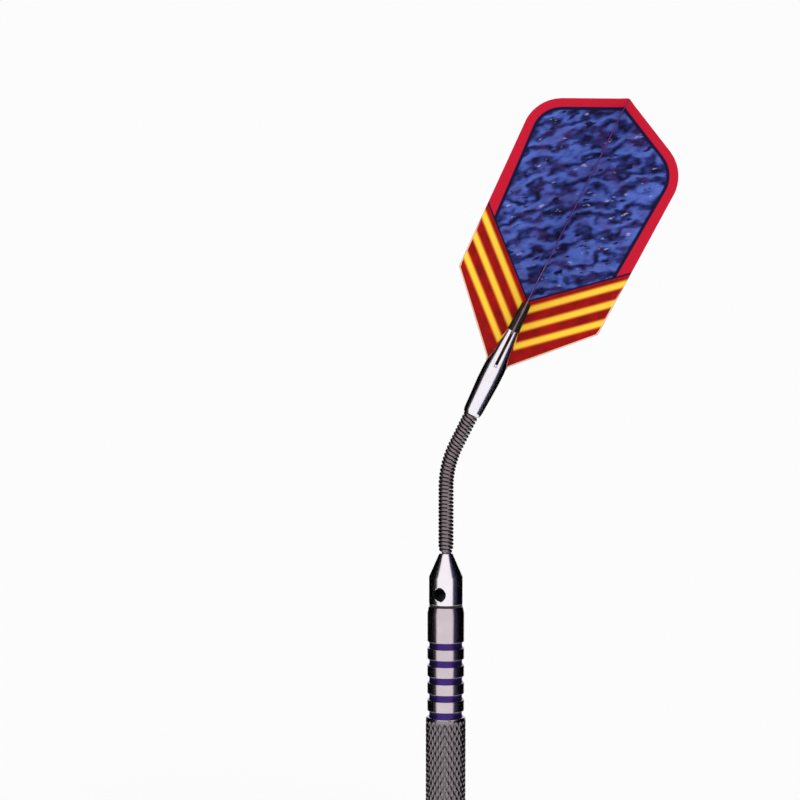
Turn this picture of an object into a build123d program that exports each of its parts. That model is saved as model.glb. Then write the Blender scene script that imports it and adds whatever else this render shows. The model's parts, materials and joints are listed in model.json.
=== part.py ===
from build123d import *
import os
from math import cos, radians, sin, tan

# A steel-tip dart whose shaft is a flexible, close-coiled spring.
# The origin is at the barrel's nose, where the steel point comes out, and +Z runs up the barrel
# towards the flight. The spring is bent towards +X, so the flight end leans in the XZ plane.

# ---------------------------------------------------------------- driving dimensions, mm and degrees

# Steel point: the lower end is free, the upper end is turned down to a shank pressed into the barrel.
point_radius = 1.18
point_free_length = 32.0
point_cone_length = 7.0
point_tip_radius = 0.12
point_seat_depth = 12.0
point_seat_radius = 1.0

# Barrel
barrel_length = 49.75
barrel_radius = 3.1
nose_radius = 1.75
nose_taper_end = 9.0
knurl_radius = 3.35
knurl_bottom = 12.5
knurl_top = 30.8
knurl_edge = 0.25
groove_count = 5
groove_pitch = 2.93
groove_width = 1.1
groove_radius = 2.4
top_groove_height = 43.3
rear_chamfer_start = 48.65
rear_face_radius = 2.87

# Grip rings in the grooves, and the rubber ring between barrel and shaft
grip_ring_radius = 2.85
o_ring_thickness = 0.4
o_ring_radius = 2.78
o_ring_edge = 0.12

# Screw joint: plain cylinders at the thread's major size
thread_radius = 2.33
thread_length = 5.2
thread_clearance = 0.05
thread_bore_depth = 5.3
thread_edge = 0.4

# Shaft base: a cylinder, a cone and a spigot that the spring is pressed over
base_radius = 2.85
base_cylinder_length = 4.6
base_cone_length = 3.95
cone_end_radius = 1.1
base_edge = 0.15
spigot_length = 3.8
cross_hole_radius = 1.1
cross_hole_height = 52.0
cross_hole_azimuth = -20.0

# Spring
spring_radius = 1.3
wire_diameter = 0.6
wire_groove_depth = 0.22
spring_pitch = 0.63
bend_angle = 26.3
bend_radius = 16.0
bend_corner_height = 73.5
side_hinge_gap = 0.12
fore_hinge_gap = 0.04

# Flight holder, as (radius, distance along the leaning axis from the bend's corner)
holder_outline = ((1.45, 9.5), (1.6, 10.0), (1.88, 15.6), (1.88, 18.1), (1.2, 25.0))
holder_socket_depth = 4.0
collet_seat = 17.9
slot_bottom = 18.3
slot_span = 14.0
holder_slot_width = 0.5

# Collet: the dark slotted tip inside the holder
collet_radius = 0.95
collet_collar_radius = 1.05
collet_tip_radius = 0.8
collet_tip = 30.0
collet_slot_width = 0.35

# Flight wing, as (distance from the axis, distance along it from the collet's tip)
film_thickness = 0.2
wing_bottom = -11.3
wing_root = (1.95, -10.8)
wing_front_corner = (12.8, 0.6)
wing_widest = (13.6, 27.0)
wing_shoulder = (12.5, 30.4)
wing_shoulder_end = (9.9, 32.7)
wing_tail = 37.4

# ---------------------------------------------------------------- derived places

ring_bottom = barrel_length
base_bottom = ring_bottom + o_ring_thickness
cone_bottom = base_bottom + base_cylinder_length
spring_bottom = cone_bottom + base_cone_length
thread_end = base_bottom - thread_length
spring_bore = spring_radius - wire_diameter
wire_valley = spring_radius - wire_groove_depth
groove_heights = [top_groove_height - groove_pitch * n for n in range(groove_count)]

# The bend is an arc. Three side hinges stand at the corners of the polygon that touches the arc
# from outside, so each turns by a third of the bend, and a leg of two half lengths joins them.
side_hinges = 3
hinge_turn = bend_angle / side_hinges
half_leg = bend_radius * tan(radians(hinge_turn) / 2)
bend_start = bend_radius * tan(radians(bend_angle) / 2)
bend_corner = Vector(0, 0, bend_corner_height)


def leaning(origin, angle):
    """A plane at origin whose Z leans from +Z towards +X by angle, in degrees."""
    lean = radians(angle)
    return Plane(origin=origin, x_dir=(cos(lean), 0, -sin(lean)), z_dir=(sin(lean), 0, cos(lean)))


def half_section(base):
    """The plane for a half section about base's Z: its X is the radius and its Y runs along the axis."""
    return Plane(origin=base.origin, x_dir=base.x_dir, z_dir=-base.y_dir)


def turned(base, angle):
    """base, turned about its own Z by angle, in degrees."""
    x_dir = base.x_dir.rotate(Axis((0, 0, 0), base.z_dir), angle)
    return Plane(origin=base.origin, x_dir=x_dir, z_dir=base.z_dir)


flight_axis = leaning(bend_corner, bend_angle)

# ---------------------------------------------------------------- barrel group

os.makedirs("parts", exist_ok=True)

with BuildPart() as steel_point:
    with BuildSketch(Plane.XZ):
        with BuildLine():
            Polyline(
                (0, -point_free_length),
                (point_tip_radius, -point_free_length),
                (point_radius, point_cone_length - point_free_length),
                (point_radius, 0),
                (point_seat_radius, 0),
                (point_seat_radius, point_seat_depth),
                (0, point_seat_depth),
                close=True,
            )
        make_face()
    revolve(axis=Axis.Z)

with BuildPart() as barrel:
    with BuildSketch(Plane.XZ):
        with BuildLine():
            ThreePointArc(
                (nose_radius, 0),
                (0.35 * nose_radius + 0.65 * barrel_radius, nose_taper_end / 2),
                (barrel_radius, nose_taper_end),
            )
            Polyline(
                (barrel_radius, nose_taper_end),
                (barrel_radius, knurl_bottom - knurl_edge),
                (knurl_radius, knurl_bottom),
                (knurl_radius, knurl_top),
                (barrel_radius, knurl_top + knurl_edge),
                (barrel_radius, rear_chamfer_start),
                (rear_face_radius, barrel_length),
                (0, barrel_length),
                (0, 0),
                (nose_radius, 0),
            )
        make_face()
    revolve(axis=Axis.Z)
    for height in groove_heights:
        with BuildSketch(Plane.XY.offset(height - groove_width / 2)):
            Circle(knurl_radius + 1)
            Circle(groove_radius, mode=Mode.SUBTRACT)
        extrude(amount=groove_width, mode=Mode.SUBTRACT)
    with BuildSketch(Plane.XY):
        Circle(point_seat_radius)
    extrude(amount=point_seat_depth, mode=Mode.SUBTRACT)
    with BuildSketch(Plane.XY.offset(barrel_length)):
        Circle(thread_radius + thread_clearance)
    extrude(amount=-thread_bore_depth, mode=Mode.SUBTRACT)

steel_point.part.label = "steel_point"
export_step(steel_point.part, "parts/steel_point.step")
barrel.part.label = "barrel"
export_step(barrel.part, "parts/barrel.step")

for number, height in enumerate(groove_heights, start=1):
    with BuildPart() as grip_ring:
        with BuildSketch(Plane.XY.offset(height - groove_width / 2)):
            Circle(grip_ring_radius)
            Circle(groove_radius, mode=Mode.SUBTRACT)
        extrude(amount=groove_width)
    grip_ring.part.label = f"grip_ring_{number}"
    export_step(grip_ring.part, f"parts/grip_ring_{number}.step")

# ---------------------------------------------------------------- screw joint and shaft base

with BuildPart() as shaft_o_ring:
    with BuildSketch(Plane.XY.offset(ring_bottom)):
        Circle(o_ring_radius)
        Circle(thread_radius + thread_clearance, mode=Mode.SUBTRACT)
    extrude(amount=o_ring_thickness)
    outer_edges = shaft_o_ring.edges().filter_by(GeomType.CIRCLE).group_by(SortBy.RADIUS)[-1]
    fillet(outer_edges, o_ring_edge)

shaft_o_ring.part.label = "shaft_o_ring"
export_step(shaft_o_ring.part, "parts/shaft_o_ring.step")

cross_hole_angle = radians(cross_hole_azimuth)
cross_hole_plane = Plane(
    origin=(0, 0, cross_hole_height),
    z_dir=(sin(cross_hole_angle), -cos(cross_hole_angle), 0),
)

with BuildPart() as shaft_base:
    with BuildSketch(Plane.XZ):
        with BuildLine():
            Polyline(
                (0, thread_end),
                (thread_radius - thread_edge, thread_end),
                (thread_radius, thread_end + thread_edge),
                (thread_radius, base_bottom),
                (base_radius - base_edge, base_bottom),
                (base_radius, base_bottom + base_edge),
                (base_radius, cone_bottom),
                (cone_end_radius, spring_bottom),
                (spring_bore, spring_bottom),
                (spring_bore, spring_bottom + spigot_length),
                (0, spring_bottom + spigot_length),
                close=True,
            )
        make_face()
    revolve(axis=Axis.Z)
    with BuildSketch(cross_hole_plane):
        Circle(cross_hole_radius)
    extrude(amount=2 * base_radius, both=True, mode=Mode.SUBTRACT)

shaft_base.part.label = "shaft_base"
export_step(shaft_base.part, "parts/shaft_base.step")

# ---------------------------------------------------------------- spring


def spring_stretch(base, length):
    """A close-coiled stretch of the spring along base's Z, as a tube with one rib for each turn."""
    turns = round(length / spring_pitch)
    rib = length / turns
    with BuildPart() as stretch:
        with BuildSketch(half_section(base)):
            with BuildLine():
                for turn in range(turns):
                    ThreePointArc(
                        (wire_valley, rib * turn),
                        (spring_radius, rib * (turn + 0.5)),
                        (wire_valley, rib * (turn + 1)),
                    )
                Polyline(
                    (wire_valley, length),
                    (spring_bore, length),
                    (spring_bore, 0),
                    (wire_valley, 0),
                )
            make_face()
        revolve(axis=Axis(base.origin, base.z_dir))
    return stretch.part


first_hinge = bend_corner - Vector(0, 0, bend_start - half_leg)
spring_lower = spring_stretch(
    leaning(Vector(0, 0, spring_bottom), 0), first_hinge.Z - side_hinge_gap - spring_bottom
)
spring_lower.label = "spring_lower"
export_step(spring_lower, "parts/spring_lower.step")

# Each leg of the bend is two short stretches, with a fore-and-aft hinge between them.
corner = first_hinge
stretch_length = half_leg - side_hinge_gap - fore_hinge_gap
number = 0
for leg in range(1, side_hinges):
    leg_base = leaning(corner, leg * hinge_turn)
    for start in (side_hinge_gap, half_leg + fore_hinge_gap):
        number += 1
        spring_turns = spring_stretch(leg_base.offset(start), stretch_length)
        spring_turns.label = f"spring_turns_{number}"
        export_step(spring_turns, f"parts/spring_turns_{number}.step")
    corner = corner + leg_base.z_dir * 2 * half_leg

spring_upper_start = bend_start - half_leg + side_hinge_gap
spring_upper_end = holder_outline[0][1] + holder_socket_depth
spring_upper = spring_stretch(
    flight_axis.offset(spring_upper_start), spring_upper_end - spring_upper_start
)
spring_upper.label = "spring_upper"
export_step(spring_upper, "parts/spring_upper.step")

# ---------------------------------------------------------------- flight holder and collet

holder_bottom = holder_outline[0][1]
holder_top = holder_outline[-1][1]

with BuildPart() as flight_holder:
    with BuildSketch(half_section(flight_axis)):
        with BuildLine():
            Polyline(
                *holder_outline,
                (collet_radius, holder_top),
                (collet_radius, collet_seat),
                (0, collet_seat),
                (0, holder_bottom + holder_socket_depth),
                (spring_radius, holder_bottom + holder_socket_depth),
                (spring_radius, holder_bottom),
                close=True,
            )
        make_face()
    revolve(axis=Axis(flight_axis.origin, flight_axis.z_dir))
    with BuildSketch(flight_axis.offset(slot_bottom)):
        Rectangle(slot_span, holder_slot_width)
        Rectangle(holder_slot_width, slot_span)
    extrude(amount=holder_top - slot_bottom, mode=Mode.SUBTRACT)

flight_holder.part.label = "flight_holder"
export_step(flight_holder.part, "parts/flight_holder.step")

with BuildPart() as flight_collet:
    with BuildSketch(half_section(flight_axis)):
        with BuildLine():
            Polyline(
                (0, collet_seat),
                (collet_radius, collet_seat),
                (collet_radius, holder_top),
                (collet_collar_radius, holder_top),
                (collet_tip_radius, collet_tip),
                (0, collet_tip),
                close=True,
            )
        make_face()
    revolve(axis=Axis(flight_axis.origin, flight_axis.z_dir))
    with BuildSketch(flight_axis.offset(slot_bottom)):
        Rectangle(slot_span, collet_slot_width)
        Rectangle(collet_slot_width, slot_span)
    extrude(amount=collet_tip - slot_bottom, mode=Mode.SUBTRACT)

flight_collet.part.label = "flight_collet"
export_step(flight_collet.part, "parts/flight_collet.step")

# ---------------------------------------------------------------- flight

wing_origin = flight_axis.offset(collet_tip)
spine = film_thickness / 2

for quarter, side in enumerate(("right", "back", "left", "front")):
    wing_plane = half_section(turned(wing_origin, 90 * quarter))
    with BuildPart() as flight_wing:
        with BuildSketch(wing_plane):
            with BuildLine():
                Polyline(
                    (spine, wing_tail),
                    (spine, wing_bottom),
                    (wing_root[0], wing_bottom),
                    wing_root,
                    wing_front_corner,
                    wing_widest,
                )
                ThreePointArc(wing_widest, wing_shoulder, wing_shoulder_end)
                Line(wing_shoulder_end, (spine, wing_tail))
            make_face()
        extrude(amount=film_thickness / 2, both=True)
    flight_wing.part.label = f"flight_wing_{side}"
    export_step(flight_wing.part, f"parts/flight_wing_{side}.step")
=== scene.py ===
import json
from math import ceil, cos, floor, pi, radians, sin, sqrt, tan

import bmesh
import bpy
from mathutils import Matrix, Vector


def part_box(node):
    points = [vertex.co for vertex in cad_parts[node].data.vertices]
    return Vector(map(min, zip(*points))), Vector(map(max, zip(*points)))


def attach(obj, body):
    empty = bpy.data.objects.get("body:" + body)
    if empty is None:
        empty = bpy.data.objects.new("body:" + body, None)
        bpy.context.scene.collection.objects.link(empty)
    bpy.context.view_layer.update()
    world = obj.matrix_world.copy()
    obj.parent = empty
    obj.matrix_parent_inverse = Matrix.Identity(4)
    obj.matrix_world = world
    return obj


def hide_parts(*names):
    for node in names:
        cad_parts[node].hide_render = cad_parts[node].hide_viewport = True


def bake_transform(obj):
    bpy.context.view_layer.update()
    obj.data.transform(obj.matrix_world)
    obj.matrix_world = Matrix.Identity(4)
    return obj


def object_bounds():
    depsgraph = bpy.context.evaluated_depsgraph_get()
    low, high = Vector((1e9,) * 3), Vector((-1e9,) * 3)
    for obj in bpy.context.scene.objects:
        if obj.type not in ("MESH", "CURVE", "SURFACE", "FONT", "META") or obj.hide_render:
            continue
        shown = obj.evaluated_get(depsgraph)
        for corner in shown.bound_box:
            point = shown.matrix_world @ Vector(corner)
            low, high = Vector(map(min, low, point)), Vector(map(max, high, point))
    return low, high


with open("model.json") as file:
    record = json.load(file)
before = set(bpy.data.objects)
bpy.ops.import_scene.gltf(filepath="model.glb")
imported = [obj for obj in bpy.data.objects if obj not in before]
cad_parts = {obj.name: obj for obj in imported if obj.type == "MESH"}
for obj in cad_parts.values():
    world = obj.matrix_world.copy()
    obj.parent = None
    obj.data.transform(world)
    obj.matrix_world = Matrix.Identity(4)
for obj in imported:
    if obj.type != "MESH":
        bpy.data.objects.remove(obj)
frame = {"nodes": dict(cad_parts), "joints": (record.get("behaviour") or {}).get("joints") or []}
cad_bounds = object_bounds()

# A steel-tip dart with a flexible spring shaft. Outlines are (radius, height) in millimetres, about
# the barrel's axis or the leaning axis of the flight, and meshes are written in metres.

MM = 0.001
UP = Vector((0, 0, 1))

# ---------------------------------------------------------------- places taken from the frame

joints = {joint["name"]: joint for joint in frame["joints"]}
first_hinge = Vector(joints["bend_side_1"]["pos_m"]) / MM
second_hinge = Vector(joints["bend_side_2"]["pos_m"]) / MM
flight_direction = Vector(joints["flight_pull"]["axis"])

side_hinges = 3
bend_angle = UP.angle(flight_direction)
hinge_turn = bend_angle / side_hinges
half_leg = (second_hinge - first_hinge).length / 2
bend_radius = half_leg / tan(hinge_turn / 2)
arc_start = first_hinge.z - half_leg
arc_length = bend_radius * bend_angle
bend_corner = Vector((0, 0, arc_start + bend_radius * tan(bend_angle / 2)))

upright = Matrix.Scale(MM, 4)
leaning = upright @ Matrix.Translation(bend_corner) @ Matrix.Rotation(bend_angle, 4, "Y")


def heights(node):
    """The lowest and highest place of a CAD node along the barrel's axis, in mm."""
    low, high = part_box(node)
    return low.z / MM, high.z / MM


def leaning_heights(node):
    """The same along the flight's leaning axis, counted from the bend's corner."""
    to_local = leaning.inverted()
    along = [(to_local @ vertex.co).z for vertex in frame["nodes"][node].data.vertices]
    return min(along), max(along)


barrel_top = heights("barrel")[1]
base_bottom = heights("shaft_o_ring")[1]
spring_bottom = heights("spring_lower")[0]
point_bottom, point_top = heights("steel_point")
holder_bottom, holder_top = leaning_heights("flight_holder")
collet_bottom, collet_top = leaning_heights("flight_collet")
spring_top = leaning_heights("spring_upper")[1]

# ---------------------------------------------------------------- mesh helpers

sharp_edge = 30             # in degrees: edges that turn more than this are drawn sharp
corner_share = 0.4          # how much of its two sides a rounded corner may take up
on_axis = 1e-6              # in mm: a smaller radius is a point on the axis
weld_distance = 1e-7        # in metres: points closer than this are merged after a cut


def mesh_object(name, vertices, faces, place, sharp_angle=sharp_edge):
    """A mesh object from points in mm, put in place by a matrix, smooth but for its sharp edges."""
    mesh = bpy.data.meshes.new(name)
    mesh.from_pydata([place @ Vector(v) for v in vertices], [], faces)
    mesh.validate()
    for polygon in mesh.polygons:
        polygon.use_smooth = True
    mesh.set_sharp_from_angle(angle=radians(sharp_angle))
    piece = bpy.data.objects.new(name, mesh)
    bpy.context.scene.collection.objects.link(piece)
    return piece


def rounded(outline, radius, steps=4):
    """The outline with each inner corner turned into a short curve of about that radius."""
    points = [Vector(p) for p in outline]
    result = [points[0]]
    for before, corner, after in zip(points, points[1:], points[2:]):
        back = before - corner
        ahead = after - corner
        reach = min(radius, corner_share * back.length, corner_share * ahead.length)
        start = corner + back.normalized() * reach
        end = corner + ahead.normalized() * reach
        for step in range(steps + 1):
            t = step / steps
            result.append(start * (1 - t) ** 2 + corner * 2 * t * (1 - t) + end * t ** 2)
    result.append(points[-1])
    return [(p.x, p.y) for p in result]


def revolved(name, outline, place, steps=120, shape=None):
    """A closed surface of revolution. The outline starts and ends on the axis, or is a closed loop.

    shape(angle_share, radius, height) may change the radius, as knurling does."""
    closed_loop = outline[0] == outline[-1]
    rows = outline[:-1] if closed_loop else outline
    vertices = []
    rings = []
    for radius, height in rows:
        if radius < on_axis:
            rings.append([len(vertices)] * steps)
            vertices.append((0, 0, height))
            continue
        rings.append(list(range(len(vertices), len(vertices) + steps)))
        for step in range(steps):
            share = step / steps
            r = shape(share, radius, height) if shape else radius
            vertices.append((r * cos(2 * pi * share), r * sin(2 * pi * share), height))
    pairs = list(zip(rings, rings[1:]))
    if closed_loop:
        pairs.append((rings[-1], rings[0]))
    faces = []
    for low, high in pairs:
        for step in range(steps):
            after = (step + 1) % steps
            corners = [low[step], low[after], high[after], high[step]]
            face = [c for n, c in enumerate(corners) if c not in corners[:n]]
            if len(face) > 2:
                faces.append(face)
    return mesh_object(name, vertices, faces, place)


def block(name, size, centre, place):
    """A box cutter of that size in mm."""
    vertices = [
        (centre[0] + x * size[0] / 2, centre[1] + y * size[1] / 2, centre[2] + z * size[2] / 2)
        for x in (-1, 1) for y in (-1, 1) for z in (-1, 1)
    ]
    faces = [(0, 1, 3, 2), (4, 6, 7, 5), (0, 4, 5, 1), (2, 3, 7, 6), (0, 2, 6, 4), (1, 5, 7, 3)]
    return mesh_object(name, vertices, faces, place)


def cut(piece, cutter):
    """Takes the cutter's space out of the piece, and removes the cutter."""
    modifier = piece.modifiers.new("cut", "BOOLEAN")
    modifier.operation = "DIFFERENCE"
    modifier.solver = "EXACT"
    modifier.object = cutter
    bpy.context.view_layer.update()
    result = bpy.data.meshes.new_from_object(piece.evaluated_get(bpy.context.evaluated_depsgraph_get()))
    piece.modifiers.clear()
    clean = bmesh.new()
    clean.from_mesh(result)
    bmesh.ops.remove_doubles(clean, verts=clean.verts, dist=weld_distance)
    bmesh.ops.dissolve_degenerate(clean, edges=clean.edges, dist=weld_distance)
    clean.to_mesh(result)
    clean.free()
    piece.data = result
    bpy.data.objects.remove(cutter)
    piece.data.set_sharp_from_angle(angle=radians(sharp_edge))


def darken_bore(piece, place, radius, finish):
    """Gives a second material to the faces of a round hole, whose axis is the place's Z."""
    piece.data.materials.append(finish)
    to_hole = place.inverted()
    for polygon in piece.data.polygons:
        centre = to_hole @ polygon.center
        if sqrt(centre.x ** 2 + centre.y ** 2) < radius:
            polygon.material_index = len(piece.data.materials) - 1


def finished(piece, body, slot, finish, *nodes):
    """Gives the piece its material and body, and hides the CAD nodes that it stands for. The slot is not
    used.
    """
    piece.data.materials.clear()
    piece.data.materials.append(finish)
    if body:
        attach(piece, body)
    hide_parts(*nodes)
    return piece


# ---------------------------------------------------------------- materials


class Nodes:
    """A short way to build one material's nodes."""

    def __init__(self, name):
        self.material = bpy.data.materials.new(name)
        self.material.use_nodes = True
        self.tree = self.material.node_tree
        self.shader = self.tree.nodes["Principled BSDF"]

    def add(self, kind, inputs=None, **settings):
        made = self.tree.nodes.new(kind)
        for key, value in settings.items():
            setattr(made, key, value)
        for key, value in (inputs or {}).items():
            self.put(made.inputs[key], value)
        return made

    def put(self, socket, value):
        if isinstance(value, bpy.types.NodeSocket):
            self.tree.links.new(value, socket)
        else:
            socket.default_value = value

    def math(self, operation, first, second=0.0, clamp=False):
        made = self.add("ShaderNodeMath", {0: first, 1: second}, operation=operation, use_clamp=clamp)
        return made.outputs[0]

    def mix(self, share, first, second):
        made = self.add("ShaderNodeMix", data_type="RGBA")
        self.put(made.inputs[0], share)
        self.put(made.inputs[6], first)
        self.put(made.inputs[7], second)
        return made.outputs[2]

    def millimetres(self, lean=0.0, stretch=(1, 1, 1)):
        """Places on the piece in mm, with Z along its own axis, times stretch."""
        place = self.add("ShaderNodeTexCoord").outputs["Object"]
        straight = self.add("ShaderNodeMapping", {"Vector": place, "Rotation": (0, -lean, 0)})
        scale = tuple(s / MM for s in stretch)
        return self.add("ShaderNodeMapping", {"Vector": straight.outputs[0], "Scale": scale}).outputs[0]

    def noise(self, place, scale, detail=3.0):
        made = self.add("ShaderNodeTexNoise", {"Vector": place, "Scale": scale, "Detail": detail})
        return made.outputs[0]

    def spread(self, value, low, high):
        """A value from 0 to 1 mapped onto low to high."""
        made = self.add("ShaderNodeMapRange", {"Value": value, "To Min": low, "To Max": high})
        return made.outputs[0]

    def step(self, value, edge, blur):
        """0 below the edge and 1 above it, over a short blur."""
        return self.add(
            "ShaderNodeMapRange", {"Value": value, "From Min": edge - blur, "From Max": edge + blur}
        ).outputs[0]

    def bump(self, height, distance_mm, strength=1.0):
        made = self.add(
            "ShaderNodeBump", {"Height": height, "Distance": distance_mm * MM, "Strength": strength}
        )
        self.put(self.shader.inputs["Normal"], made.outputs[0])


sunk_shade = 0.18           # painted shade: how much of its colour the metal keeps at the bottom of the knurling
patch_share = 0.6           # how much of the wear is in patches. The rest is in the turning lines
least_wear = 0.7            # the smoothest and the roughest places, as shares of its roughness
most_wear = 1.35


def turned_metal(name, colour, shade, roughness, line_depth, lean=0.0, painted_shade_name=None):
    """Metal with fine turning lines round its axis, faint stains and a rougher and a smoother patch. An
    attribute, if one is named, adds painted shade.
    """
    n = Nodes(name)
    patches = n.noise(n.millimetres(lean), scale=0.45)
    lines = n.noise(n.millimetres(lean, stretch=(0.15, 0.15, 14)), scale=1.0, detail=4.0)
    tint = n.mix(patches, colour, shade)
    # Painted shade, as much as the named attribute holds
    if painted_shade_name:
        depth = n.add("ShaderNodeAttribute", attribute_name=painted_shade_name).outputs["Fac"]
        tint = n.mix(depth, tint, tuple(c * sunk_shade for c in colour[:3]) + (1,))
    n.put(n.shader.inputs["Base Color"], tint)
    n.put(n.shader.inputs["Metallic"], 1.0)
    wear = n.math("ADD", n.math("MULTIPLY", patches, patch_share),
                  n.math("MULTIPLY", lines, 1 - patch_share))
    n.put(n.shader.inputs["Roughness"], n.spread(wear, roughness * least_wear, roughness * most_wear))
    n.bump(lines, line_depth)
    return n.material


def glossy_plastic(name, colour, shade, roughness, lean=0.0, metal=0.0, grain=0.004):
    """Moulded plastic, or a metallic coating, with a faint grain."""
    n = Nodes(name)
    patches = n.noise(n.millimetres(lean), scale=0.8)
    grains = n.noise(n.millimetres(lean), scale=9.0, detail=4.0)
    n.put(n.shader.inputs["Base Color"], n.mix(patches, colour, shade))
    n.put(n.shader.inputs["Metallic"], metal)
    n.put(n.shader.inputs["Specular IOR Level"], 0.25)
    n.put(n.shader.inputs["Roughness"], n.spread(patches, roughness * 0.8, roughness * 1.25))
    n.bump(grains, grain)
    return n.material


CRIMSON = (0.60, 0.006, 0.03, 1)
RED = (0.48, 0.003, 0.002, 1)
DARK_RED = (0.16, 0.002, 0.003, 1)
YELLOW = (1.0, 0.70, 0.05, 1)
ORANGE = (0.85, 0.25, 0.02, 1)
HIGHLIGHT_PEACH = (0.95, 0.55, 0.36, 1)
NAVY = (0.005, 0.005, 0.04, 1)
BLUE = (0.035, 0.055, 0.28, 1)
LIGHT_BLUE = (0.085, 0.15, 0.55, 1)
LAVENDER = (0.42, 0.42, 0.72, 1)
VIOLET = (0.07, 0.02, 0.13, 1)
GREY = (0.26, 0.19, 0.24, 1)
BLACK = (0.004, 0.004, 0.005, 1)

vee_start = 0.6                         # the blue panel's front edge at the fold
vee_slope = 0.89                        # its rise for each mm outwards
vee_squareness = 1 / sqrt(1 + vee_slope ** 2)
stripe_pitch = 2.63
first_stripe = 1.55
stripe_half_width = 0.4
stripe_margin = 1.0                     # from the first stripe's middle, towards the blue panel
stripe_pitches = 2.5                    # from the first stripe's middle to the end of the last
vee_line = 0.28                         # the navy line between the panel and the stripes
border_front = (10.0, 1.9)              # a place along the wing, and the red border's width there
border_rear = (30.0, 1.4)
border_line = 0.55
# the width of the painted highlight along the film's edge
edge_highlight_width = 0.2
edge_highlight_from = 3.0                    # how far ahead of the panel the painted highlight on the edge begins
ripple_stretch = (0.2, 0.34, 0)
ripple_rate = 1.9
ripple_warp = 19.0
ripple_strength = 0.4
cloud_strength = 0.68
blue_from = 0.42                        # tones of the panel, from dark to light
light_blue_from = 0.62
violet_from = 0.56
violet_strength = 0.35
dash_stretch = (0.38, 0.95, 0)
pale_dash_from = 0.675
pale_dash_strength = 0.75
dark_dash_from = 0.64
fold_shade = 0.5                        # how dark the panel is at the fold, and how fast that fades
fold_fade = 1.4
stripe_glow = 0.2
# the width of the painted shade on the film's cut edge, and where along the wing it turns from black to
# grey and from grey to violet
cut_edge = 0.03
film_grain = 0.006
rim_grey_from = -5.2
rim_grey_to = 0.5


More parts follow.
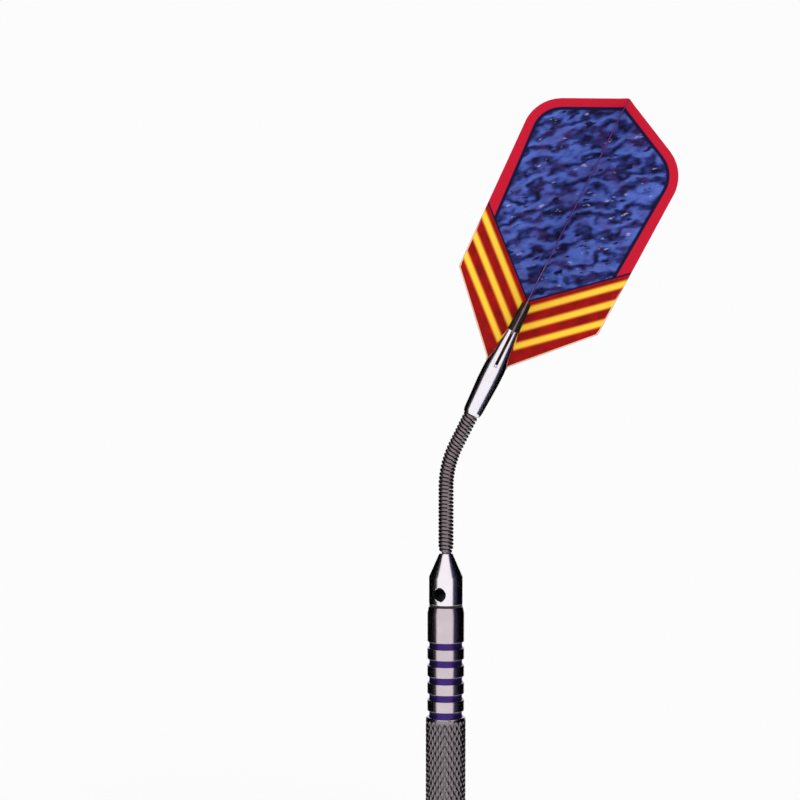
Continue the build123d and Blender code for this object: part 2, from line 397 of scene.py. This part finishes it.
def printed_film():
    """The flight's print, with a painted highlight along its front edge and painted shade on its cut edge.
    The 'print' attribute holds (outwards, along, distance from the edge) in mm.
    """
    n = Nodes("flight_print")
    place = n.add("ShaderNodeAttribute", attribute_name="print").outputs["Vector"]
    parts = n.add("ShaderNodeSeparateXYZ", {0: place}).outputs
    outwards, along, from_edge = parts[0], parts[1], parts[2]

    # Blue panel: ripples across both sides of the fold, with a few dark and a few pale dashes
    ripples = n.add("ShaderNodeAttribute", attribute_name="ripple").outputs["Vector"]
    across = n.add("ShaderNodeSeparateXYZ", {0: ripples}).outputs[1]
    stretched = n.add("ShaderNodeMapping", {"Vector": ripples, "Scale": ripple_stretch}).outputs[0]
    warp = n.noise(stretched, scale=1.0, detail=2.0)
    phase = n.math("ADD", n.math("MULTIPLY", across, ripple_rate), n.math("MULTIPLY", warp, ripple_warp))
    ripple = n.math("ADD", n.math("MULTIPLY", n.math("SINE", phase), 0.5), 0.5)
    cloud = n.noise(stretched, scale=2.6, detail=4.0)
    tone = n.math("ADD", n.math("MULTIPLY", ripple, ripple_strength),
                  n.math("MULTIPLY", cloud, cloud_strength))
    blue = n.mix(n.step(tone, blue_from, blur=0.12), NAVY, BLUE)
    blue = n.mix(n.step(tone, light_blue_from, blur=0.13), blue, LIGHT_BLUE)
    stain = n.step(n.noise(ripples, scale=0.3, detail=2.0), violet_from, blur=0.08)
    blue = n.mix(n.math("MULTIPLY", stain, violet_strength), blue, VIOLET)
    dashed = n.add("ShaderNodeMapping", {"Vector": ripples, "Scale": dash_stretch}).outputs[0]
    dash = n.noise(dashed, scale=1.0, detail=3.0)
    pale_dash = n.math("MULTIPLY", n.step(dash, pale_dash_from, blur=0.025), pale_dash_strength)
    blue = n.mix(pale_dash, blue, LAVENDER)
    blue = n.mix(n.step(n.math("SUBTRACT", 1.0, dash), dark_dash_from, blur=0.03), blue, NAVY)
    by_fold = n.math("SUBTRACT", fold_shade, n.math("MULTIPLY", outwards, fold_fade), True)
    blue = n.mix(by_fold, blue, NAVY)

    # Border on the outer and rear edges, with a thin navy line inside it
    border_width = n.add("ShaderNodeMapRange", {
        "Value": along, "From Min": border_front[0], "From Max": border_rear[0],
        "To Min": border_front[1], "To Max": border_rear[1],
    }).outputs[0]
    from_border = n.math("SUBTRACT", from_edge, border_width)
    border = n.mix(n.step(from_border, 0.0, blur=0.06), CRIMSON, NAVY)
    panel = n.mix(n.step(from_border, border_line, blur=0.12), border, blue)

    # Front of the V: red with yellow stripes that run beside the panel's edge
    vee = n.math("ADD", n.math("MULTIPLY", outwards, vee_slope), vee_start)
    ahead = n.math("MULTIPLY", n.math("SUBTRACT", vee, along), vee_squareness)
    stripe = n.math("PINGPONG", n.math("SUBTRACT", ahead, first_stripe), stripe_pitch / 2)
    glow = n.step(n.math("SUBTRACT", stripe_half_width + stripe_glow, stripe), 0.0, blur=0.15)
    core = n.step(n.math("SUBTRACT", stripe_half_width, stripe), 0.0, blur=0.14)
    last = first_stripe + stripe_pitches * stripe_pitch
    inside = n.math("MULTIPLY", n.step(ahead, first_stripe - stripe_margin, blur=0.05),
                    n.step(n.math("SUBTRACT", last, ahead), 0.0, blur=0.05))
    red = n.mix(n.step(n.noise(place, scale=0.5), 0.5, blur=0.3), RED, DARK_RED)
    front = n.mix(n.math("MULTIPLY", glow, inside), red, ORANGE)
    front = n.mix(n.math("MULTIPLY", core, inside), front, YELLOW)
    front = n.mix(n.step(ahead, vee_line, blur=0.05), NAVY, front)

    film_colour = n.mix(n.step(ahead, 0.0, blur=0.04), panel, front)
    # A painted highlight along the film's edge, ahead of the panel
    highlight_band = n.step(n.math("SUBTRACT", edge_highlight_width, from_edge), 0.0, blur=0.05)
    painted_edge_highlight = n.math("MULTIPLY", highlight_band, n.step(ahead, edge_highlight_from, blur=1.0))
    film_colour = n.mix(painted_edge_highlight, film_colour, HIGHLIGHT_PEACH)

    # The film's cut edge carries painted shade: black in the holder's slots, grey beside the collet and
    # violet behind it, where it shows as a dark seam
    rim = n.step(n.math("SUBTRACT", cut_edge, from_edge), 0.0, blur=0.01)
    painted_rim_shade = n.mix(n.step(along, rim_grey_from, blur=0.3), BLACK, GREY)
    painted_rim_shade = n.mix(n.step(along, rim_grey_to, blur=1.0), painted_rim_shade, VIOLET)
    n.put(n.shader.inputs["Base Color"], n.mix(rim, film_colour, painted_rim_shade))
    n.put(n.shader.inputs["Roughness"], n.spread(cloud, 0.3, 0.45))
    n.put(n.shader.inputs["Specular IOR Level"], 0.06)
    n.bump(n.noise(place, scale=2.2, detail=5.0), film_grain)
    return n.material


steel = turned_metal("point_steel", (0.42, 0.42, 0.44, 1), (0.30, 0.30, 0.32, 1), 0.22, 0.004)
alloy = turned_metal("barrel_alloy", (0.67, 0.60, 0.63, 1), (0.54, 0.475, 0.50, 1), 0.19, 0.005,
                     painted_shade_name="depth")
aluminium = turned_metal("shaft_aluminium", (0.93, 0.90, 0.92, 1), (0.84, 0.82, 0.86, 1), 0.19, 0.002)
holder_metal = turned_metal("holder_aluminium", (0.93, 0.90, 0.93, 1), (0.82, 0.80, 0.87, 1), 0.19,
                            0.002, lean=bend_angle)
spring_steel = turned_metal("spring_steel", (0.27, 0.225, 0.24, 1), (0.19, 0.16, 0.17, 1), 0.28, 0.003)
# Nearly black: painted shade inside the cross hole, on a rougher metal
bore_painted_shade = turned_metal("bore_painted_shade", (0.035, 0.033, 0.035, 1), (0.015, 0.015, 0.016, 1), 0.6, 0.01)
purple = glossy_plastic("ring_purple", (0.062, 0.03, 0.21, 1), (0.04, 0.018, 0.13, 1), 0.3, metal=0.85)
rubber = glossy_plastic("seal_rubber", (0.02, 0.02, 0.022, 1), (0.035, 0.033, 0.035, 1), 0.6)
black = glossy_plastic("collet_black", (0.006, 0.006, 0.007, 1), (0.015, 0.014, 0.015, 1), 0.3,
                       lean=bend_angle)
film = printed_film()

# ---------------------------------------------------------------- steel point

point_radius = 1.18
point_cone_length = 7.0
point_tip_radius = 0.12
shank_radius = 1.0
point_edge = 0.12
point_steps = 64

point_outline = rounded(
    [
        (0, point_bottom),
        (point_tip_radius, point_bottom),
        (point_radius, point_bottom + point_cone_length),
        (point_radius, 0),
        (shank_radius, 0),
        (shank_radius, point_top),
        (0, point_top),
    ],
    point_edge,
)
finished(revolved("steel_point_turned", point_outline, upright, point_steps), "barrel", "point_steel",
         steel, "steel_point")

# ---------------------------------------------------------------- barrel

barrel_radius = 3.1
point_bore_radius = 1.01
point_bore_depth = point_top + 0.05
nose_radius = 1.75
nose_taper_end = 9.0
nose_curve = 1.2
nose_steps = 14
knurl_radius = 3.35
knurl_bottom = 12.5
knurl_top = 30.8
knurl_edge = 0.25
knurl_lip = 0.3
knurl_sharpness = 1.5
diamond_count = 22
diamond_height = 1.7
diamond_steps = 8
knurl_depth = 0.2
# the share of painted shade on the knurling's crests. The bottom of its grooves gets all of it
knurl_painted_shade = 0.68
groove_width = 1.1
groove_radius = 2.4
rear_chamfer_height = 1.1
rear_face_radius = 2.87
bore_radius = 2.38
bore_depth = 5.3
barrel_edge = 0.08

ring_count = 5
ring_heights = sorted(sum(heights(f"grip_ring_{n}")) / 2 for n in range(1, ring_count + 1))


def barrel_outline():
    """The barrel's outline from the point's bore to the threaded hole, with fine rows in the knurling."""
    nose = []
    for step in range(nose_steps + 1):
        t = step / nose_steps
        swell = sin(t * pi / 2) ** nose_curve
        nose.append((nose_radius + (barrel_radius - nose_radius) * swell, nose_taper_end * t))
    body = [(0, point_bore_depth), (point_bore_radius, point_bore_depth), (point_bore_radius, 0)] + nose
    body += [(barrel_radius, knurl_bottom - knurl_edge), (knurl_radius, knurl_bottom)]
    rows = ceil((knurl_top - knurl_bottom) / diamond_height * diamond_steps)
    knurled = [(knurl_radius, knurl_bottom + (knurl_top - knurl_bottom) * row / rows)
               for row in range(1, rows)]
    after = [(knurl_radius, knurl_top)]
    for height in ring_heights:
        low = height - groove_width / 2
        high = height + groove_width / 2
        after += [(barrel_radius, low), (groove_radius, low), (groove_radius, high), (barrel_radius, high)]
    after += [
        (barrel_radius, barrel_top - rear_chamfer_height),
        (rear_face_radius, barrel_top),
        (bore_radius, barrel_top),
        (bore_radius, barrel_top - bore_depth),
        (0, barrel_top - bore_depth),
    ]
    return rounded(body, barrel_edge) + knurled + rounded(after, barrel_edge)


def knurl(share, radius, height):
    """Diamond knurling: two sets of crossing V grooves between two plain lips."""
    edge = min(height - knurl_bottom, knurl_top - height) - knurl_lip
    if edge <= 0 or radius < barrel_radius:
        return radius
    across = share * diamond_count
    up = (height - knurl_bottom) / diamond_height
    grooves = []
    for position in (across + up, across - up):
        share_of_cell = position - floor(position)
        grooves.append(min(share_of_cell, 1 - share_of_cell) * 2)
    depth = knurl_depth * (1 - min(1.0, min(grooves) * knurl_sharpness))
    return radius - depth * min(1.0, edge / knurl_lip)


barrel_piece = revolved("barrel_turned", barrel_outline(), upright, diamond_count * diamond_steps, knurl)
# Painted shade over the whole knurling, deepest at the bottom of its grooves
knurl_painted_shades = barrel_piece.data.attributes.new("depth", "FLOAT", "POINT")
for vertex, depth in zip(barrel_piece.data.vertices, knurl_painted_shades.data):
    place = vertex.co / MM
    if knurl_bottom < place.z < knurl_top:
        radius = sqrt(place.x ** 2 + place.y ** 2)
        sunk = max(0.0, min(1.0, (knurl_radius - radius) / knurl_depth))
        depth.value = knurl_painted_shade + (1 - knurl_painted_shade) * sunk
finished(barrel_piece, "barrel", "barrel_alloy", alloy, "barrel")

# ---------------------------------------------------------------- rings

ring_radius = 2.85
ring_hollow = 0.1
ring_steps = 8

for number in range(1, ring_count + 1):
    node = f"grip_ring_{number}"
    low, high = heights(node)
    ring_outline = [(groove_radius, low), (ring_radius, low)]
    for step in range(1, ring_steps):
        t = step / ring_steps
        ring_outline.append((ring_radius - ring_hollow * sin(pi * t), low + (high - low) * t))
    ring_outline += [(ring_radius, high), (groove_radius, high), (groove_radius, low)]
    finished(revolved(f"grip_ring_coloured_{number}", ring_outline, upright), "barrel", "ring_purple",
             purple, node)

o_ring_radius = 2.78
o_ring_steps = 12
o_ring_outline = [(bore_radius, barrel_top)]
half = (base_bottom - barrel_top) / 2
for step in range(o_ring_steps + 1):
    t = pi * (step / o_ring_steps - 0.5)
    o_ring_outline.append((o_ring_radius - half + half * cos(t), barrel_top + half + half * sin(t)))
o_ring_outline += [(bore_radius, base_bottom), (bore_radius, barrel_top)]
finished(revolved("o_ring_rubber", o_ring_outline, upright), "o_ring", "seal_rubber", rubber,
         "shaft_o_ring")

# ---------------------------------------------------------------- shaft base

base_radius = 2.85
base_cylinder_length = 4.6
cone_end_radius = 1.1
thread_root_radius = 1.95
thread_radius = 2.33
thread_pitch = 0.81
thread_length = 5.2
thread_steps = 36
thread_sides = 8
spigot_radius = 0.7
spigot_length = 3.8
cross_hole_radius = 1.1
cross_hole_height = 52.0
cross_hole_azimuth = radians(-20.0)
countersink = 0.05
hole_overlap = 0.1          # how far the hole's flare starts inside the cylinder's wall
hole_steps = 64
bore_tolerance = 1.02
base_edge = 0.16
base_rows = 16              # rows up the cylinder, which keep its shading even beside the cross hole
base_steps = 160

thread_bottom = base_bottom - thread_length
cone_bottom = base_bottom + base_cylinder_length

base_side = [
    (base_radius, base_bottom + (cone_bottom - base_bottom) * row / base_rows)
    for row in range(base_rows + 1)
]
base_outline = rounded(
    [
        (0, thread_bottom),
        (thread_root_radius, thread_bottom),
        (thread_root_radius, base_bottom),
        *base_side,
        (cone_end_radius, spring_bottom),
        (spigot_radius, spring_bottom),
        (spigot_radius, spring_bottom + spigot_length),
        (0, spring_bottom + spigot_length),
    ],
    base_edge,
)
base_piece = revolved("shaft_base_polished", base_outline, upright, base_steps)

hole_place = (
    upright
    @ Matrix.Translation((0, 0, cross_hole_height))
    @ Matrix.Rotation(cross_hole_azimuth, 4, "Z")
    @ Matrix.Rotation(radians(90), 4, "X")
)
hole_reach = 2 * base_radius
hole_flare = cross_hole_radius + hole_reach - base_radius + countersink + hole_overlap
hole_outline = [
    (0, -hole_reach),
    (hole_flare, -hole_reach),
    (cross_hole_radius, -base_radius + countersink + hole_overlap),
    (cross_hole_radius, base_radius - countersink - hole_overlap),
    (hole_flare, hole_reach),
    (0, hole_reach),
]
cut(base_piece, revolved("hole_cutter", hole_outline, hole_place, hole_steps))
finished(base_piece, "shaft", "shaft_aluminium", aluminium, "shaft_base")
# The faces inside the cross hole get the painted shade
darken_bore(base_piece, hole_place, bore_tolerance * cross_hole_radius, bore_painted_shade)


wire_sides = 10
wire_sharp_edge = 60


def swept(name, path, section_radius, place, sides=wire_sides):
    """A closed tube of round section in mm. The path gives a point and two section axes at each step."""
    vertices = []
    for point, first, second in path:
        for side in range(sides):
            angle = 2 * pi * side / sides
            vertices.append(point + (first * cos(angle) + second * sin(angle)) * section_radius)
    faces = []
    for ring in range(len(path) - 1):
        for side in range(sides):
            after = (side + 1) % sides
            low = ring * sides
            faces.append((low + side, low + after, low + sides + after, low + sides + side))
    faces.append(tuple(reversed(range(sides))))
    faces.append(tuple(range((len(path) - 1) * sides, len(path) * sides)))
    return mesh_object(name, vertices, faces, place, wire_sharp_edge)


def thread_path():
    """The thread's helix, round the stub."""
    length = thread_length - thread_pitch
    count = ceil(length / thread_pitch * thread_steps)
    crest = (thread_root_radius + thread_radius) / 2
    path = []
    for step in range(count + 1):
        angle = 2 * pi * step / thread_steps
        out = Vector((cos(angle), sin(angle), 0))
        height = thread_bottom + thread_pitch / 2 + length * step / count
        path.append((out * crest + UP * height, UP, out))
    return path


thread_depth = thread_radius - thread_root_radius
thread_piece = swept("shaft_thread", thread_path(), thread_depth / 2, upright, thread_sides)
finished(thread_piece, "shaft", "shaft_aluminium", aluminium)

# ---------------------------------------------------------------- spring

wire_radius = 0.3
coil_radius = 1.0
coil_pitch = 0.63
neck_radius = 0.76
neck_length = 1.0
neck_curve = 0.6
coil_steps = 30


def centreline(s):
    """The point and direction of the spring's middle line, s mm above the start of its arc."""
    angle = min(max(s / bend_radius, 0.0), bend_angle)
    direction = Vector((sin(angle), 0, cos(angle)))
    point = Vector((bend_radius * (1 - cos(angle)), 0, arc_start + bend_radius * sin(angle)))
    beyond = s - angle * bend_radius
    return point + direction * beyond, direction


spring_start = spring_bottom - arc_start + wire_radius
corner_to_arc_end = bend_radius * tan(bend_angle / 2)
spring_end = arc_length + spring_top - corner_to_arc_end - wire_radius


def wire_path(low, high):
    """The wire's helix from low to high along the middle line."""
    count = max(2, ceil((high - low) / coil_pitch * coil_steps))
    path = []
    for step in range(count + 1):
        s = low + (high - low) * step / count
        point, direction = centreline(s)
        sideways = Vector((0, 1, 0))
        forward = sideways.cross(direction)
        angle = -2 * pi * (s - spring_start) / coil_pitch
        out = forward * cos(angle) + sideways * sin(angle)
        neck = min(1.0, max(0.0, (s - spring_start) / neck_length))
        radius = neck_radius + (coil_radius - neck_radius) * neck ** neck_curve
        path.append((point + out * radius, out, direction))
    return path


# One stretch of wire for each hinge, cut halfway between hinges, so that each spans one joint.
hinge_spacing = bend_radius * hinge_turn / 2
hinge_places = [hinge_spacing * n for n in range(1, 2 * side_hinges)]
cuts = [place + hinge_spacing / 2 for place in hinge_places[:-1]]
stretches = zip([spring_start] + cuts, cuts + [spring_end], hinge_places)
bend_joints = [joints[name] for name in
               ("bend_side_1", "bend_fore_1", "bend_side_2", "bend_fore_2", "bend_side_3")]
stand_for = [("spring_lower", "spring_turns_1"), ("spring_turns_2",), ("spring_turns_3",),
             ("spring_turns_4",), ("spring_upper",)]

for number, ((low, high, hinge), joint, nodes) in enumerate(zip(stretches, bend_joints, stand_for), 1):
    wire = swept(f"spring_wire_{number}", wire_path(low, high), wire_radius, upright)
    finished(wire, None, "spring_steel", spring_steel, *nodes)
    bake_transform(wire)

# ---------------------------------------------------------------- flight holder and collet

socket_radius = 1.3
socket_depth = 4.0
holder_side = ((1.45, 0.0), (1.6, 0.5), (1.88, 6.1), (1.88, 8.6))    # heights above its bottom
holder_tip_radius = 1.2
holder_edge = 0.2
holder_steps = 128
collet_radius = 0.95
collet_lip_radius = 1.05
collet_tip_radius = 0.8
collet_edge = 0.15
collet_steps = 64

holder_outline = rounded(
    [
        (0, holder_bottom + socket_depth),
        (socket_radius, holder_bottom + socket_depth),
        (socket_radius, holder_bottom),
        *[(radius, holder_bottom + height) for radius, height in holder_side],
        (holder_tip_radius, holder_top),
        (collet_radius, holder_top),
        (collet_radius, collet_bottom),
        (0, collet_bottom),
    ],
    holder_edge,
)
holder_piece = revolved("flight_holder_polished", holder_outline, leaning, holder_steps)
slot_bottom = 18.3
holder_slot = 0.5
collet_slot = 0.35
slot_span = 8.0
slot_length = collet_top - slot_bottom + 1
slot_middle = (0, 0, slot_bottom + slot_length / 2)


def cut_slots(piece, width):
    """Two crossed slots of that width, from slot_bottom through the piece's upper end."""
    for size in ((slot_span, width, slot_length), (width, slot_span, slot_length)):
        cut(piece, block("slot_cutter", size, slot_middle, leaning))


cut_slots(holder_piece, holder_slot)
finished(holder_piece, "holder", "shaft_aluminium", holder_metal, "flight_holder")

collet_outline = rounded(
    [
        (0, collet_bottom),
        (collet_radius, collet_bottom),
        (collet_radius, holder_top),
        (collet_lip_radius, holder_top),
        (collet_tip_radius, collet_top),
        (0, collet_top),
    ],
    collet_edge,
)
collet_piece = revolved("flight_collet_moulded", collet_outline, leaning, collet_steps)
cut_slots(collet_piece, collet_slot)
finished(collet_piece, "holder", "collet_black", black, "flight_collet")

# ---------------------------------------------------------------- flight

film_thickness = 0.16
wing_bottom = -11.3
wing_root = (1.95, -10.8)
wing_front_corner = (12.8, 0.6)
wing_widest = (13.6, 27.0)
wing_shoulder = (12.5, 30.4)
wing_shoulder_end = (9.9, 32.7)
wing_tail = 37.4
wing_tail_width = 0.2
wing_columns = 22
wing_row_height = 0.7
wave_height = 0.035
wave_start = -2.0           # just short of the collet's tip. The wave is full wave_fade further on
wave_fade = 8.0
wave_growth = 1.5           # the power of the distance outwards that the wave grows with
long_wave = 0.34            # radians for each mm along the wing
wave_shift = 1.7            # radians from one wing to the next
cross_wave = (0.6, 0.19)    # radians for each mm outwards and along
cross_wave_share = 0.6
film_sharp_edge = 40
ripple_angle = radians(41)
ripples_up = (0, 3)         # the quarters whose ripples rise outwards, to cross the folds unbroken


def circle_through(a, b, c):
    """The centre and radius of the circle through three points."""
    d = 2 * (a[0] * (b[1] - c[1]) + b[0] * (c[1] - a[1]) + c[0] * (a[1] - b[1]))
    squares = [p[0] ** 2 + p[1] ** 2 for p in (a, b, c)]
    x = (squares[0] * (b[1] - c[1]) + squares[1] * (c[1] - a[1]) + squares[2] * (a[1] - b[1])) / d
    y = (squares[0] * (c[0] - b[0]) + squares[1] * (a[0] - c[0]) + squares[2] * (b[0] - a[0])) / d
    return x, y, sqrt((a[0] - x) ** 2 + (a[1] - y) ** 2)


shoulder_x, shoulder_y, shoulder_radius = circle_through(wing_widest, wing_shoulder, wing_shoulder_end)


def wing_width(along):
    """How far the wing reaches from the axis, at that place along it."""
    if along <= wing_root[1]:
        return wing_root[0]
    if wing_widest[1] < along < wing_shoulder_end[1]:
        return shoulder_x + sqrt(shoulder_radius ** 2 - (along - shoulder_y) ** 2)
    corners = (wing_root, wing_front_corner, wing_widest) if along <= wing_widest[1] else \
        (wing_shoulder_end, (film_thickness / 2, wing_tail))
    for low, high in zip(corners, corners[1:]):
        if along <= high[1]:
            share = (along - low[1]) / (high[1] - low[1])
            return low[0] + (high[0] - low[0]) * share
    return corners[-1][0]


def row_width(along):
    """The same, kept open at the pointed tail so that its last row of faces has an area."""
    return max(wing_width(along), wing_tail_width)


def edge_distance(point, outline):
    """The shortest distance from a point to the wing's open edge."""
    distances = []
    for a, b in zip(outline, outline[1:]):
        side = b - a
        share = max(0.0, min(1.0, (point - a).dot(side) / side.length_squared))
        distances.append((point - a - side * share).length)
    return min(distances)


def film_wave(out, along, quarter):
    """How far the film stands out of its plane at that place of a wing."""
    loose = min(1.0, max(0.0, (along - wave_start) / wave_fade)) * (out / wing_widest[0]) ** wave_growth
    crossing = sin(out * cross_wave[0] + along * cross_wave[1])
    swell = sin(along * long_wave + quarter * wave_shift) + cross_wave_share * crossing
    return wave_height * loose * swell


def wing(side, quarter):
    """One wing of the flight: a thin film with a slight wave, and its print coordinates."""
    corners = (wing_root, wing_front_corner, wing_widest, wing_shoulder_end)
    keys = [wing_bottom, *[height for out, height in corners], wing_tail]
    rows = []
    for low, high in zip(keys, keys[1:]):
        count = max(1, ceil((high - low) / wing_row_height))
        rows += [low + (high - low) * step / count for step in range(count)]
    rows.append(wing_tail)
    spine = film_thickness / 2
    outline = [Vector((row_width(along), along)) for along in rows]
    vertices = []
    printed = []
    rippled = []
    for face in (-1, 1):
        for along in rows:
            width = row_width(along)
            for column in range(wing_columns + 1):
                out = spine + (width - spine) * column / wing_columns
                wave = film_wave(out, along, quarter)
                vertices.append((out, wave + face * film_thickness / 2, collet_top + along))
                printed.append((out, along, edge_distance(Vector((out, along)), outline)))
                signed = out if quarter in ripples_up else -out
                rippled.append((along * sin(ripple_angle) + signed * cos(ripple_angle),
                                along * cos(ripple_angle) - signed * sin(ripple_angle), 0))
    across = wing_columns + 1
    sheet = len(rows) * across
    faces = []
    for row in range(len(rows) - 1):
        for column in range(wing_columns):
            a = row * across + column
            b = a + across
            faces.append((a, a + 1, b + 1, b))
            faces.append((sheet + a, sheet + b, sheet + b + 1, sheet + a + 1))
    rim = list(range(across))
    rim += [row * across + wing_columns for row in range(1, len(rows))]
    rim += [(len(rows) - 1) * across + column for column in range(wing_columns - 1, -1, -1)]
    rim += [row * across for row in range(len(rows) - 2, 0, -1)]
    for a, b in zip(rim, rim[1:] + rim[:1]):
        faces.append((b, a, sheet + a, sheet + b))
    place = leaning @ Matrix.Rotation(radians(90) * quarter, 4, "Z")
    mesh = bpy.data.meshes.new(f"flight_film_{side}")
    mesh.from_pydata([place @ Vector(v) for v in vertices], [], faces)
    for attribute_name, values in (("print", printed), ("ripple", rippled)):
        attribute = mesh.attributes.new(attribute_name, "FLOAT_VECTOR", "POINT")
        for entry, value in zip(attribute.data, values):
            entry.vector = value
    for polygon in mesh.polygons:
        polygon.use_smooth = True
    mesh.set_sharp_from_angle(angle=radians(film_sharp_edge))
    piece = bpy.data.objects.new(f"flight_film_{side}", mesh)
    bpy.context.scene.collection.objects.link(piece)
    finished(piece, "flight", "flight_film", film, f"flight_wing_{side}")


for quarter, side in enumerate(("right", "back", "left", "front")):
    wing(side, quarter)

# ---------------------------------------------------------------- studio

lowest = cad_bounds[0][2]
floor_size = 12.0
floor_gap = 0.002
floor_whiteness = 0.875

floor_material = Nodes("studio_floor")
floor_material.put(floor_material.shader.inputs["Base Color"], (*[floor_whiteness] * 3, 1))
floor_material.put(floor_material.shader.inputs["Roughness"], 0.9)
floor_material.put(floor_material.shader.inputs["Specular IOR Level"], 0.0)
floor_half = floor_size / 2 / MM
floor_height = (lowest - floor_gap) / MM
floor_piece = mesh_object(
    "studio_floor",
    [(-floor_half, -floor_half, floor_height), (floor_half, -floor_half, floor_height),
     (floor_half, floor_half, floor_height), (-floor_half, floor_half, floor_height)],
    [(0, 1, 2, 3)],
    upright,
)
floor_piece.data.materials.append(floor_material.material)

# Screens give polished metal its bright middle and its dark flanks. They stand close by, and only
# reflections see them. Angles are in degrees from the camera's side, and a gap is left at the back.
screen_distance = 120.0
screen_low = floor_height + 0.5
screen_top = 260.0
screen_steps = 12
screens = (
    ("bright_front", -58, 50, (1.03, 1.0, 1.02, 1)),
    ("blue_right", 50, 78, (0.022, 0.022, 0.07, 1)),
    ("dark_right", 78, 155, (0, 0, 0, 1)),
    ("dim_left", -78, -58, (0.034, 0.027, 0.032, 1)),
    ("dark_left", -155, -78, (0, 0, 0, 1)),
)


def screen(name, start, end, glow):
    """A curved upright screen of that glow, and black otherwise."""
    vertices = []
    for step in range(screen_steps + 1):
        angle = radians(start + (end - start) * step / screen_steps)
        x = screen_distance * sin(angle)
        y = -screen_distance * cos(angle)
        vertices += [(x, y, screen_low), (x, y, screen_top)]
    faces = [(2 * n, 2 * n + 2, 2 * n + 3, 2 * n + 1) for n in range(screen_steps)]
    piece = mesh_object(f"studio_{name}", vertices, faces, upright)
    surface = Nodes(f"studio_{name}")
    surface.put(surface.shader.inputs["Base Color"], (0, 0, 0, 1))
    surface.put(surface.shader.inputs["Specular IOR Level"], 0.0)
    surface.put(surface.shader.inputs["Emission Color"], glow)
    surface.put(surface.shader.inputs["Emission Strength"], 1.0)
    piece.data.materials.append(surface.material)
    piece.visible_camera = False
    piece.visible_diffuse = False
    piece.visible_shadow = False
    piece.visible_transmission = False


for name, start, end, glow in screens:
    screen(name, start, end, glow)

world_strength = 0.975
world = bpy.data.worlds.new("studio")
world.use_nodes = True
background = world.node_tree.nodes["Background"]
background.inputs["Color"].default_value = (1, 1, 1, 1)
background.inputs["Strength"].default_value = world_strength
bpy.context.scene.world = world

# A wide sun that shines along the plane of the front wing, so that it shades neither of its neighbours
key_direction = Vector((-0.84, 1.7, -1.7))
key = bpy.data.lights.new("key_light", "SUN")
key.energy = 0.66
key.angle = radians(25)
key_lamp = bpy.data.objects.new("key_light", key)
key_lamp.rotation_euler = key_direction.to_track_quat("-Z", "Y").to_euler()
key_lamp.visible_glossy = False
bpy.context.scene.collection.objects.link(key_lamp)

# The camera stands close to the plane of the front wing, and so sees that wing edge on.
camera_place = Vector((18.5, -368.0, 112.8)) * MM
camera_target = Vector((-7.7, 0.0, 84.3)) * MM
camera_data = bpy.data.cameras.new("camera")
camera_data.lens = 100
camera_data.sensor_width = 36
camera = bpy.data.objects.new("camera", camera_data)
camera.location = camera_place
camera.rotation_euler = (camera_target - camera_place).to_track_quat("-Z", "Y").to_euler()
bpy.context.scene.collection.objects.link(camera)
bpy.context.scene.camera = camera
bpy.context.scene.view_settings.view_transform = "Standard"
